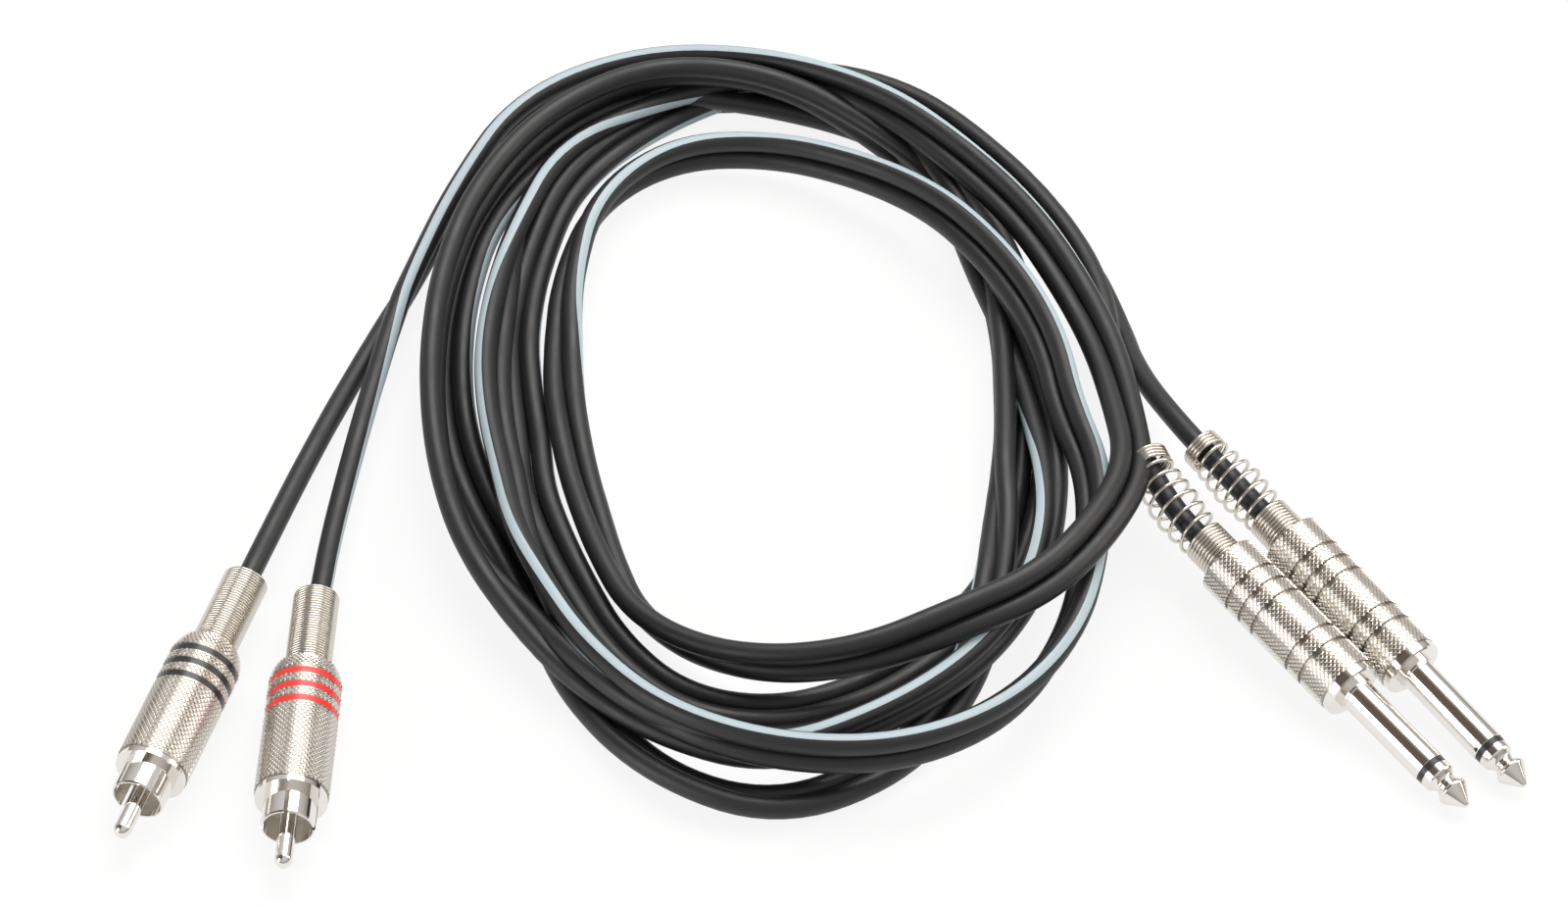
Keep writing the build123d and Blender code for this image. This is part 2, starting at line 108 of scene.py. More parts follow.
def white_to_the_eye(tree, shade, share):
    """Mixes plain white into a surface for rays from the camera, gloss and glass."""
    rays = add(tree, "ShaderNodeLightPath")
    seen = add(tree, "ShaderNodeMath", {0: rays.outputs["Is Camera Ray"],
               1: rays.outputs["Is Glossy Ray"]}, operation="MAXIMUM")
    seen = add(tree, "ShaderNodeMath", {0: seen.outputs[0],
               1: rays.outputs["Is Transmission Ray"]}, operation="MAXIMUM")
    part = add(tree, "ShaderNodeMath", {0: seen.outputs[0], 1: share}, operation="MULTIPLY")
    white = add(tree, "ShaderNodeEmission", {"Color": linear("#FFFFFF"), "Strength": 1.0})
    return add(tree, "ShaderNodeMixShader", {0: part.outputs[0], 1: shade, 2: white.outputs[0]})


tabletop, tree, out = new_finish("matt white tabletop")
grain = add(tree, "ShaderNodeTexNoise", {"Scale": 900.0, "Detail": 3.0})
paper = add(tree, "ShaderNodeBsdfPrincipled", {"Base Color": linear("#F4F4F4"),
            "Roughness": 0.9, "Specular IOR Level": 0.2})
bump = add(tree, "ShaderNodeBump", {"Strength": 0.04, "Distance": 0.0002,
           "Height": grain.outputs["Fac"]})
tree.links.new(bump.outputs[0], paper.inputs["Normal"])
tree.links.new(white_to_the_eye(tree, paper.outputs[0], 0.87).outputs[0], out.inputs[0])
half = 4.0
sheet = bpy.data.meshes.new("tabletop")
sheet.from_pydata([(-half, -half, 0), (half, -half, 0), (half, half, 0), (-half, half, 0)],
                  [], [(0, 1, 2, 3)])
sheet.materials.append(tabletop)
floor_top = bpy.data.objects.new("tabletop", sheet)
bpy.context.scene.collection.objects.link(floor_top)

for name, place, size, power, tint in (
    ("overhead_box", (0.15, 0.7, 1.12), (1.0, 0.8), 13.0, "#FFFDFA"),
    ("left_box", (-1.15, -0.6, 0.45), (0.5, 0.9), 7.0, "#FFFFFF"),
    ("right_box", (1.15, 0.25, 0.65), (0.35, 0.9), 4.5, "#FFF9F2"),
):
    lamp = bpy.data.objects.new(name, bpy.data.lights.new(name, "AREA"))
    lamp.data.shape = "RECTANGLE"
    lamp.data.size, lamp.data.size_y = size
    lamp.data.energy = power
    lamp.data.color = linear(tint)[:3]
    lamp.location = place
    lamp.rotation_euler = (Vector((0, 0.03, 0)) - lamp.location).to_track_quat("-Z", "Y").to_euler()
    bpy.context.scene.collection.objects.link(lamp)

room = bpy.data.worlds.new("pale room")
bpy.context.scene.world = room
room.use_nodes = True
tree = room.node_tree
tree.nodes.clear()
way = add(tree, "ShaderNodeTexCoord")
height = add(tree, "ShaderNodeSeparateXYZ", {0: way.outputs["Generated"]})
ramp = add(tree, "ShaderNodeValToRGB", {0: height.outputs["Z"]})
ramp.color_ramp.elements[0].position, ramp.color_ramp.elements[0].color = 0.0, linear("#9C9187")
ramp.color_ramp.elements[1].position, ramp.color_ramp.elements[1].color = 0.75, linear("#F3F3F3")
middle = ramp.color_ramp.elements.new(0.35)
middle.color = linear("#D3CFCA")
# a dim patch high on the left gives the polished shafts their brown-grey line
toward = add(tree, "ShaderNodeVectorMath", {0: way.outputs["Generated"],
             1: (-0.59, -0.08, 0.80)}, operation="DOT_PRODUCT")
shade = add(tree, "ShaderNodeMapRange", {"Value": toward.outputs["Value"], "From Min": 0.74,
            "From Max": 0.93}, interpolation_type="SMOOTHSTEP")
dim = add(tree, "ShaderNodeMix", {0: shade.outputs[0], 6: ramp.outputs[0],
          7: linear("#74695F")}, data_type="RGBA")
air = add(tree, "ShaderNodeBackground", {"Color": dim.outputs[2], "Strength": 0.8})
add(tree, "ShaderNodeOutputWorld", {0: air.outputs[0]})
bpy.context.scene.view_settings.view_transform = "Standard"


# ---- Twin cord ----
# Two soft PVC cords of 4.1 mm, extruded side by side with a pale stripe on one, split
# near both ends for the plugs, and coiled loosely by hand in five and a half turns.
cord_size = 0.0041
pair_spacing = 4.15                  # mm between the two centres
coil_middle = (-8.58, 55.80)
turn_step = 15                       # degrees between the places below

# Clockwise from the phono leads: radius and height in mm, and the roll in degrees of
# the striped cord about the plain one, from outward (0) towards up (90).
over_turn = [   # the last to be laid, from the upper left
    (80.3, 4.2, 100), (88.2, 4.2, 92), (101.3, 4.2, 85), (103.1, 5, 85), (94.1, 8, 90),
    (82.6, 9.8, 75), (72.7, 9.8, 60), (68.1, 9.5, 45), (64.9, 8.5, 20), (64.0, 8.5, 0),
    (64.3, 10.5, -20), (68.2, 12.5, -30), (67.8, 13.5, -40), (67.5, 13.5, -50),
    (64.3, 13, -62), (63.8, 11.5, -73), (61.4, 9, -85), (56.5, 6, -105), (50.5, 4.4, -125),
    (43.0, 3.8, -140), (38.7, 3.2, -150), (37.3, 3, -155), (37.9, 3, -158)]
inner_turn = [  # from the left, inside the top, then low across the front
    (40.9, 3, -172), (46.2, 3.5, -195), (56.3, 4.5, -222), (69.9, 5, -250), (76.7, 5, -272),
    (74.1, 5.5, -281), (67.5, 7.5, -285), (61.6, 9.5, -292), (56.7, 9.8, -298),
    (54.5, 9.5, -302), (53.7, 9, -305), (53.8, 8.5, -308), (60.7, 9, -308), (66.5, 9, -308),
    (75.0, 9, -302), (82.4, 9.5, -275), (85.0, 11, -262), (81.7, 11, -258), (76.7, 11, -250),
    (67.4, 10, -258), (58.6, 8.5, -278), (53.4, 6.5, -302), (50.5, 5, -308), (51.6, 5, -310)]
middle_turn = [  # dives under its neighbour at the top and rises again at the left
    (54.9, 5, -310), (60.1, 5, -305), (70.7, 5, -270), (85.0, 4.2, -258), (92.9, 4.5, -200),
    (97.1, 6, -150), (83.9, 5.6, -130), (69.5, 5.6, -130), (56.7, 5.6, -155),
    (52.2, 5.6, -182), (50.0, 5.6, -190), (50.0, 6, -205), (52.8, 6.5, -230),
    (57.4, 7, -250), (63.6, 7.5, -260), (69.5, 7.5, -268), (74.7, 7.5, -270),
    (81.1, 7.5, -268), (76.5, 7.5, -255), (69.6, 7, -215), (65.0, 7, -150), (64.0, 7.5, -110),
    (62.7, 7.5, -100), (63.2, 7.5, -100)]
outer_turn = [  # outermost at the left, then down to the floor at the right and front
    (66.5, 7.5, -98), (72.7, 8, -96), (81.5, 8.2, -92), (90.2, 8.5, -85), (95.0, 9, -70),
    (89.2, 10, -60), (80.7, 6.5, -75), (70.4, 4.5, -85), (58.0, 4.2, -90), (50.4, 4.2, -90),
    (45.1, 4.2, -90), (43.1, 4.2, -90), (43.6, 4.2, -95), (47.9, 3.6, -125),
    (55.9, 4.8, -170), (68.9, 3, -175), (80.6, 2.1, -175), (88.2, 2.9, -155),
    (82.4, 3.4, -135), (69.9, 2.2, -175), (59.2, 2.3, -178), (55.6, 2.4, -180),
    (56.4, 2.5, -182), (59.0, 2.5, -184)]
first_turn = [  # the first to be laid, flat on the table
    (63.1, 2.5, -186), (69.6, 2.5, -188), (78.6, 2.5, -188), (87.7, 2.8, -178),
    (94.1, 4.1, -100), (91.0, 3.1, -30), (87.3, 2.4, -10), (75.3, 2.4, -10),
    (64.4, 3.1, -30), (56.3, 4.1, -90), (51.2, 3.1, -150), (48.5, 2.1, -165),
    (48.8, 2.1, -165), (51.2, 2.1, -165), (54.6, 2.1, -165), (58.2, 2.1, -165),
    (63.0, 2.1, -162), (66.5, 2.1, -160), (65.1, 2.2, -160), (57.7, 2.3, -160),
    (50.6, 2.4, -162), (47.1, 2.5, -165), (46.0, 2.6, -165), (45.6, 2.6, -165)]
way_out = [     # half a turn more, then out under all the others to the jack plugs
    (49.2, 2.6, -165), (56.4, 2.6, -165), (66.3, 2.6, -168), (80.9, 2.4, -172),
    (90.5, 2.6, -168), (100.0, 2.6, -168)]

plugs = {}
for joint in frame["joints"]:
    if joint["type"] == "hinge":
        back = Vector(joint["axis"]).normalized()
        plugs[joint["child"].removesuffix("_cover")] = (
            Vector(joint["pos_m"]) * 1000 - 30 * back, -back)


def plug_frame(plug):
    """A plug's axes and reference in mm: X towards its tip, Y up, Z to the side."""
    place, ahead = plugs[plug]
    side = ahead.cross(Vector((0, 0, 1))).normalized()
    up = side.cross(ahead)
    frame = Matrix((ahead, up, side)).transposed().to_4x4()
    frame.translation = place
    return frame


def at_plug(plug, ahead, up=0.0, side=0.0):
    """A place in mm from a plug's reference, ahead of it, above and to its side."""
    return tuple(plug_frame(plug) @ Vector((ahead, up, side)))


def coil_places(start=150):
    """The pair's two centres at each place of the coil, in mm."""
    spread = 1.009      # makes up for the spline cutting inside its control points
    places = over_turn + inner_turn + middle_turn + outer_turn + first_turn + way_out
    pair = [[], []]
    for i, (radius, height, roll) in enumerate(places):
        turn, roll = radians(start - turn_step * i), radians(roll)
        for side, share in ((0, 0.5), (1, -0.5)):
            out = spread * radius + share * pair_spacing * cos(roll)
            pair[side].append((coil_middle[0] + out * cos(turn), coil_middle[1] + out * sin(turn),
                               height + share * pair_spacing * sin(roll)))
    return pair


def rest_on_each_other(pair, rounds=160, apart=4.25, floor_height=2.1):
    """Lets the laid turns settle: crossing cords push each other up and a little aside."""
    upward, aside, stride = 0.7, 0.4, 1.3      # how contacts push, and how far each round goes
    smoothing, hold = 0.12, 0.9                # stiffness, and the pull back to the laid place
    home = np.array(pair, float)
    count = home.shape[1]
    share = np.zeros((4 * (count - 2), count))
    for i in range(count - 2):
        for j, t in enumerate((0, 0.25, 0.5, 0.75)):
            share[4 * i + j, i:i + 3] = (1 - t) ** 2 / 2, (1 + 2 * t - 2 * t * t) / 2, t * t / 2
    many = len(share)
    at = np.arange(2 * many) % many
    other = np.triu(np.abs(at[:, None] - at[None]) >= 6)
    start = np.concatenate([share @ home[0], share @ home[1]])
    now = home.copy()
    for _ in range(rounds):
        line = np.concatenate([share @ now[0], share @ now[1]])
        square = (line * line).sum(1)
        gap = square[:, None] + square[None] - 2 * line @ line.T
        a, b = np.nonzero(other & (gap < apart * apart))
        between = line[a] - line[b]
        far = np.linalg.norm(between, axis=1)[:, None]
        aim = between / np.maximum(far, 1e-6)
        aim[:, 2] += upward * np.sign(start[a, 2] - start[b, 2])
        aim[:, :2] *= aside
        aim /= np.linalg.norm(aim, axis=1)[:, None]
        push = (apart - far) * aim * 0.5
        move, touches = np.zeros_like(line), np.zeros(len(line))
        np.add.at(move, a, push)
        np.add.at(move, b, -push)
        np.add.at(touches, a, 1)
        np.add.at(touches, b, 1)
        move /= np.maximum(touches, 1)[:, None]
        move[:, 2] += np.maximum(floor_height - line[:, 2], 0)
        for side in (0, 1):
            now[side] += stride * (share.T @ move[side * many:(side + 1) * many]) \
                / share.sum(0)[:, None]
        off = now - home
        near = off.copy()
        near[:, 1:-1] = (off[:, :-2] + off[:, 2:] + 2 * off[:, 1:-1]) / 4
        off += smoothing * (near - off)
        off[..., :2] *= hold
        now = home + off
        centre, arm = (now[0] + now[1]) / 2, (now[0] - now[1]) / 2
        arm *= (pair_spacing / 2 / np.linalg.norm(arm, axis=1))[:, None]
        now = np.array([centre + arm, centre - arm])
        now[:, :1], now[:, -1:] = home[:, :1], home[:, -1:]
    return [[tuple(p) for p in side] for side in now]


striped_coil, plain_coil = rest_on_each_other(coil_places())
cord_routes = {
    "striped_cord": [at_plug("phono_red", -21), at_plug("phono_red", -54),
                     (-86.8, 51.0, 6.6), (-81.2, 84.5, 7.2), *striped_coil,
                     (15.5, 144.0, 2.3), (33.0, 128.3, 2.1), (51.8, 105.5, 2.3),
                     (57.6, 85.5, 3.2), (60.0, 68.0, 8.0), at_plug("jack_2", -95.4),
                     at_plug("jack_2", -83), at_plug("jack_2", -72, -0.3),
                     at_plug("jack_2", -50)],
    "plain_cord": [at_plug("phono_black", -21), at_plug("phono_black", -54),
                   (-94.2, 52.5, 5.6), (-84.4, 82.0, 3.4), *plain_coil,
                   (17.6, 151.3, 4.2), (36.9, 128.5, 6.0), (49.3, 107.5, 6.4),
                   (55.0, 88.5, 7.2), (55.6, 69.5, 8.4), at_plug("jack_1", -98.1, -0.8, -5.7),
                   at_plug("jack_1", -81), at_plug("jack_1", -66, -0.3),
                   at_plug("jack_1", -50)],
}


def follow(name, route):
    """Points in metres read from the NURBS spline with the route as its control points."""
    curve = bpy.data.curves.new(name, "CURVE")
    curve.dimensions = "3D"
    curve.resolution_u = 8
    spline = curve.splines.new("NURBS")
    spline.points.add(len(route) - 1)
    for point, place in zip(spline.points, route):
        point.co = (*(c / 1000 for c in place), 1.0)
    spline.order_u = 3
    spline.use_endpoint_u = True
    holder = bpy.data.objects.new(name, curve)
    bpy.context.scene.collection.objects.link(holder)
    line = bpy.data.meshes.new_from_object(
        holder.evaluated_get(bpy.context.evaluated_depsgraph_get()))
    points = [v.co.copy() for v in line.vertices]
    bpy.data.objects.remove(holder)
    bpy.data.meshes.remove(line)
    return points


def tube(name, points, away, radius, sides=16):
    """A closed tube along points; U runs round it from the side away from its twin."""
    shape = bmesh.new()
    uv = shape.loops.layers.uv.new("round and along")
    rings, run, length = [], [0.0], 0.0
    for i, point in enumerate(points):
        ahead = (points[min(i + 1, len(points) - 1)] - points[max(i - 1, 0)]).normalized()
        out = (away[i] - ahead * away[i].dot(ahead)).normalized()
        side = ahead.cross(out)
        rings.append([shape.verts.new(point + radius * (out * cos(t) + side * sin(t)))
                      for t in (2 * pi * k / sides for k in range(sides))])
        if i:
            length += (point - points[i - 1]).length
            run.append(length)
    for i in range(len(rings) - 1):
        for k in range(sides):
            m = (k + 1) % sides
            face = shape.faces.new((rings[i][k], rings[i][m], rings[i + 1][m], rings[i + 1][k]))
            face.smooth = True
            for loop, (u, v) in zip(face.loops, ((k, i), (k + 1, i), (k + 1, i + 1), (k, i + 1))):
                loop[uv].uv = (u / sides, run[v])
    for ring, end in ((rings[0][::-1], points[0]), (rings[-1], points[-1])):
        centre = shape.verts.new(end)
        for k in range(sides):
            shape.faces.new((ring[k], ring[(k + 1) % sides], centre))
    mesh = bpy.data.meshes.new(name)
    shape.to_mesh(mesh)
    shape.free()
    piece = bpy.data.objects.new(name, mesh)
    bpy.context.scene.collection.objects.link(piece)
    return piece


def soft_pvc(name, stripe):
    """Extruded soft PVC: even satin black, faint drawing lines along it and handling marks."""
    material, tree, out = new_finish(name)
    place = add(tree, "ShaderNodeTexCoord")
    uv = add(tree, "ShaderNodeSeparateXYZ", {0: place.outputs["UV"]})
    wide = add(tree, "ShaderNodeCombineXYZ", {"X": uv.outputs["X"], "Y": uv.outputs["Y"]})
    lines = add(tree, "ShaderNodeMapping", {"Vector": wide.outputs[0], "Scale": (26.0, 14.0, 1.0)})
    drawn = add(tree, "ShaderNodeTexNoise", {"Vector": lines.outputs[0], "Scale": 1.0,
                "Detail": 2.0})
    marks = add(tree, "ShaderNodeTexNoise", {"Vector": place.outputs["Object"],
                "Scale": 160.0, "Detail": 4.0, "Roughness": 0.65})
    gloss = add(tree, "ShaderNodeMapRange", {"Value": marks.outputs["Fac"], "From Min": 0.3,
                "From Max": 0.7, "To Min": 0.42, "To Max": 0.56})
    black = add(tree, "ShaderNodeMix", {0: marks.outputs["Fac"], 6: linear("#161719"),
                7: linear("#1E1F21")}, data_type="RGBA")
    colour = black.outputs[2]
    if stripe:
        # the stripe is co-extruded pale PVC, about 1.8 mm of the 12.9 mm round
        near = add(tree, "ShaderNodeMath", {0: uv.outputs["X"], 1: 0.5}, operation="PINGPONG")
        edge = add(tree, "ShaderNodeMath", {0: drawn.outputs["Fac"], 1: 0.010, 2: 0.063},
                   operation="MULTIPLY_ADD")
        inside = add(tree, "ShaderNodeMath", {0: near.outputs[0], 1: edge.outputs[0]},
                     operation="LESS_THAN")
        pale = add(tree, "ShaderNodeMix", {0: marks.outputs["Fac"], 6: linear("#A6B8BF"),
                   7: linear("#B7C7CE")}, data_type="RGBA")
        both = add(tree, "ShaderNodeMix", {0: inside.outputs[0], 6: colour,
                   7: pale.outputs[2]}, data_type="RGBA")
        colour = both.outputs[2]
    bump = add(tree, "ShaderNodeBump", {"Strength": 0.12, "Distance": 0.0001,
               "Height": drawn.outputs["Fac"]})
    skin = add(tree, "ShaderNodeBsdfPrincipled", {"Base Color": colour,
               "Roughness": gloss.outputs[0], "IOR": 1.53, "Normal": bump.outputs[0]})
    tree.links.new(skin.outputs[0], out.inputs[0])
    return material


lines = {name: follow(name, route) for name, route in cord_routes.items()}
for name, twin, ends, material in (
    ("striped_cord", "plain_cord", ("phono_red", "jack_2"), soft_pvc("striped soft PVC", True)),
    ("plain_cord", "striped_cord", ("phono_black", "jack_1"), soft_pvc("soft PVC", False)),
):
    line = lines[name]
    away = [a - b for a, b in zip(line, lines[twin])]
    cord = tube(name, line, away, cord_size / 2)
    cord.data.materials.append(material)
    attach(cord, "cable")
    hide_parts(f"{ends[0]}_lead", f"{ends[1]}_lead", "cord_coil")
    tuple(c / 1000 for c in at_plug(ends[0], -50))


# ---- Strain relief springs ----
# Bright spring wire, 0.56 mm on the phono plugs, where it is close wound all along, and
# 0.7 mm on the jack plugs, where it leaves the barrel close wound, opens in about six
# turns and closes again.
wire_size, wire_middle = 0.7, 3.85              # mm, on the jack plugs
fine_wire_size, fine_wire_middle = 0.56, 3.92   # mm, on the phono plugs
turn_points = 28

spring_wire, tree, out = new_finish("nickel plated spring wire")
# Drawn wire: bright and smooth, with the drawing's slight unevenness in its gloss.
place = add(tree, "ShaderNodeTexCoord")
patches = add(tree, "ShaderNodeTexNoise", {"Vector": place.outputs["Object"],
              "Scale": 700.0, "Detail": 3.0})
gloss = add(tree, "ShaderNodeMapRange", {"Value": patches.outputs["Fac"], "To Min": 0.14,
            "To Max": 0.30})
metal = add(tree, "ShaderNodeBsdfPrincipled", {"Base Color": linear("#D6D0C6"),
            "Metallic": 1.0, "Roughness": gloss.outputs[0]})
tree.links.new(metal.outputs[0], out.inputs[0])


def geometry_tree(name, sockets):
    """An empty Geometry Nodes tree with a mesh in and out and the named inputs."""
    tree = bpy.data.node_groups.new(name, "GeometryNodeTree")
    tree.interface.new_socket("Geometry", in_out="INPUT", socket_type="NodeSocketGeometry")
    for socket, kind in sockets:
        tree.interface.new_socket(socket, in_out="INPUT", socket_type="NodeSocket" + kind)
    tree.interface.new_socket("Geometry", in_out="OUTPUT", socket_type="NodeSocketGeometry")
    return tree, add(tree, "NodeGroupInput")


def finish_tree(tree, geometry, material):
    """Ends a tree in real geometry with its material."""
    real = add(tree, "GeometryNodeRealizeInstances", {0: geometry})
    done = add(tree, "GeometryNodeSetMaterial", {"Geometry": real.outputs[0],
               "Material": material})
    add(tree, "NodeGroupOutput", {0: done.outputs[0]})


def grow(name, start, tree, values, body, place=None):
    """Runs a tree on some start data and keeps the result as a plain piece on a body."""
    seed = bpy.data.objects.new(name + "_seed", start)
    bpy.context.scene.collection.objects.link(seed)
    modifier = seed.modifiers.new("nodes", "NODES")
    modifier.node_group = tree
    for item in tree.interface.items_tree:
        if item.in_out == "INPUT" and item.name in values:
            modifier[item.identifier] = values[item.name]
    seed.update_tag()
    mesh = bpy.data.meshes.new_from_object(
        seed.evaluated_get(bpy.context.evaluated_depsgraph_get()))
    seed.modifiers.remove(modifier)
    bpy.data.objects.remove(seed)
    mesh.name = name
    if place:
        mesh.transform(place)
    piece = bpy.data.objects.new(name, mesh)
    bpy.context.scene.collection.objects.link(piece)
    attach(piece, body)
    return piece


wound_wire, group = geometry_tree("wound wire", [("Wire Radius", "Float"), ("Sides", "Int")])
section = add(wound_wire, "GeometryNodeCurvePrimitiveCircle", {"Resolution": group.outputs["Sides"],
              "Radius": group.outputs["Wire Radius"]})
wire = add(wound_wire, "GeometryNodeCurveToMesh", {"Curve": group.outputs["Geometry"],
           "Profile Curve": section.outputs[0], "Fill Caps": True})
soft = add(wound_wire, "GeometryNodeSetShadeSmooth", {0: wire.outputs[0]})
finish_tree(wound_wire, soft.outputs[0], spring_wire)


def helix(plug, stretches, centre):
    """Points of a wound wire: stretches of (start, end, turns, middle radius) behind the plug."""
    points, turn = [], 0.0
    for start, end, turns, first, last in stretches:
        count = max(int(turns * turn_points), 1)
        for k in range(count):
            share = k / count
            origin, up, side = centre(plug, start + (end - start) * share)
            angle = 2 * pi * (turn + turns * share)
            radius = first + (last - first) * share
            points.append(origin + radius * (up * cos(angle) + side * sin(angle)))
        turn += turns
    return [p / 1000 for p in points]


spring_bends = {"jack_1": 18.0}
bend_start, bend_length = 71.0, 17.0
waist_middle = 4.6      # the open turns are a little wider than the close ones


def spring_centre(plug, behind):
    """The spring's middle line: on the plug's axis, or round a bend that starts at its opening."""
    frame = plug_frame(plug)
    bend = radians(spring_bends.get(plug, 0.0))
    run = min(max(behind - bend_start, 0.0), bend_length)
    turned = bend * run / bend_length
    back, aside = run, 0.0
    if turned:
        back, aside = run * sin(turned) / turned, run * (1 - cos(turned)) / turned
    beyond = max(behind - bend_start - bend_length, 0.0)
    back += min(behind, bend_start) + beyond * cos(turned)
    aside += beyond * sin(turned)
    origin = frame @ Vector((-back, 0, -aside))
    turn = frame.to_3x3()
    return origin, turn @ Vector((0, 1, 0)), turn @ Vector((sin(turned), 0, -cos(turned)))


def wire_curve(name, points):
    """A curve of straight steps through the points of a wound wire."""
    curve = bpy.data.curves.new(name, "CURVE")
    curve.dimensions = "3D"
    spline = curve.splines.new("POLY")
    spline.points.add(len(points) - 1)
    for point, place in zip(spline.points, points):
        point.co = (*place, 1.0)
    return curve


for plug in plugs:
    if plug.startswith("phono"):
        size = fine_wire_size
        stretches = [(33.0, 33.6, 1.0, 4.65, 4.6), (33.6, 35.2, 1.0, 4.6, fine_wire_middle),
                     (35.2, 52.6, 30.4, fine_wire_middle, fine_wire_middle)]
    else:
        size = wire_size
        open_end = 89.2 if plug == "jack_1" else 87.9
        waist = (bend_start + open_end) / 2
        stretches = [(62.0, 62.7, 1.0, 4.8, 4.75), (62.7, 64.4, 1.0, 4.75, wire_middle),
                     (64.4, bend_start, 9.2, wire_middle, wire_middle),
                     (bend_start, waist, 3.1, wire_middle, waist_middle),
                     (waist, open_end, 3.1, waist_middle, wire_middle - 0.2),
                     (open_end, open_end + 2.9, 4.0, wire_middle - 0.2, wire_middle - 0.3)]
    spring = grow(f"{plug}_wound_spring", wire_curve(plug, helix(plug, stretches, spring_centre)),
                  wound_wire, {"Wire Radius": size / 2000, "Sides": 10},
                  f"{plug}_relief")
    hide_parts(f"{plug}_spring")


# ---- Knurled shells and barrels ----
# Brass turned and diamond knurled, then nickel plated: rows of small flat-topped
# pyramids between plain grooves, screwed over the plug's threaded stub. The shell
# under them is a darker nickel: painted shade in the knurl's roots and grooves.
def nickel(name, colour, rough, marks=1.0):
    """Bright nickel on brass: faintly warm, with fine turning marks and a haze from handling."""
    material, tree, out = new_finish(name)
    place = add(tree, "ShaderNodeTexCoord")
    haze = add(tree, "ShaderNodeTexNoise", {"Vector": place.outputs["Object"], "Scale": 220.0,
               "Detail": 4.0, "Roughness": 0.6})
    gloss = add(tree, "ShaderNodeMapRange", {"Value": haze.outputs["Fac"], "From Min": 0.25,
                "From Max": 0.75, "To Min": rough[0], "To Max": rough[1]})
    fine = add(tree, "ShaderNodeTexNoise", {"Vector": place.outputs["Object"],
               "Scale": 2500.0, "Detail": 2.0})
    bump = add(tree, "ShaderNodeBump", {"Strength": 0.05 * marks, "Distance": 0.00005,
               "Height": fine.outputs["Fac"]})
    metal = add(tree, "ShaderNodeBsdfPrincipled", {"Base Color": linear(colour),
                "Metallic": 1.0, "Roughness": gloss.outputs[0], "Normal": bump.outputs[0]})
    tree.links.new(metal.outputs[0], out.inputs[0])
    return material


polished = nickel("bright nickel plating", "#E9E5E0", (0.06, 0.14))
knurl_top = nickel("nickel plated knurl", "#E9E4DD", (0.14, 0.24), 2.0)
# the roots take a darker copy of the same nickel: painted shade between the diamonds
knurl_root_painted_shade = nickel("nickel with painted shade in the knurl's roots", "#A29B92", (0.26, 0.38), 2.0)

knurl, group = geometry_tree("diamond knurl", [
    ("Radius", "Float"), ("Behind", "Float"), ("Row Step", "Float"), ("Rows", "Int"),
    ("Around", "Int"), ("Proud", "Float"), ("Drop", "Float")])


def field(a, b, how):
    """One step of arithmetic in the knurl's tree."""
    return add(knurl, "ShaderNodeMath", {0: a, 1: b}, operation=how).outputs[0]


total = field(group.outputs["Rows"], group.outputs["Around"], "MULTIPLY")
dots = add(knurl, "GeometryNodePoints", {"Count": total})
index = add(knurl, "GeometryNodeInputIndex").outputs[0]
row = field(field(index, group.outputs["Around"], "DIVIDE"), 0.0, "FLOOR")
column = field(index, group.outputs["Around"], "MODULO")
shift = field(field(row, 2.0, "MODULO"), 0.5, "MULTIPLY")
around_share = field(field(column, shift, "ADD"), group.outputs["Around"], "DIVIDE")
angle = field(around_share, 2 * pi, "MULTIPLY")
along = field(field(row, 0.5, "ADD"), group.outputs["Row Step"], "MULTIPLY")
x = field(0.0, field(along, group.outputs["Behind"], "ADD"), "SUBTRACT")
share = field(field(row, 1.0, "ADD"), group.outputs["Rows"], "DIVIDE")
lower = field(field(share, 2.0, "POWER"), group.outputs["Drop"], "MULTIPLY")
out_to = field(group.outputs["Radius"], lower, "SUBTRACT")
y = field(field(angle, 0.0, "COSINE"), out_to, "MULTIPLY")
z = field(field(angle, 0.0, "SINE"), out_to, "MULTIPLY")
place = add(knurl, "ShaderNodeCombineXYZ", {0: x, 1: y, 2: z})
set_places = add(knurl, "GeometryNodeSetPosition", {"Geometry": dots.outputs[0],
                 "Position": place.outputs[0]})
width = field(field(pi, group.outputs["Radius"], "MULTIPLY"), group.outputs["Around"], "DIVIDE")
diamond = add(knurl, "GeometryNodeMeshCone", {"Vertices": 4, "Side Segments": 1,
              "Fill Segments": 1, "Radius Top": field(width, 0.42, "MULTIPLY"),
              "Radius Bottom": field(width, 0.9, "MULTIPLY"), "Depth": group.outputs["Proud"]})
turned = add(knurl, "ShaderNodeCombineXYZ", {0: field(angle, pi / 2, "SUBTRACT")})
facing = add(knurl, "FunctionNodeEulerToRotation", {0: turned.outputs[0]})
ratio = add(knurl, "ShaderNodeCombineXYZ", {
            0: field(group.outputs["Row Step"], width, "DIVIDE"), 1: 1.0, 2: 1.0})
studs = add(knurl, "GeometryNodeInstanceOnPoints", {"Points": set_places.outputs[0],
            "Instance": diamond.outputs["Mesh"], "Rotation": facing.outputs[0],
            "Scale": ratio.outputs[0]})
finish_tree(knurl, studs.outputs[0], knurl_top)

knurl_height, knurl_sunk = 0.17, 0.03   # mm, of a pyramid, and of its base under the surface
row_stretch = 1.08                      # diamonds are a little longer than wide
shoulder_drop = 1.0                     # mm that the last rows fall along a phono shoulder
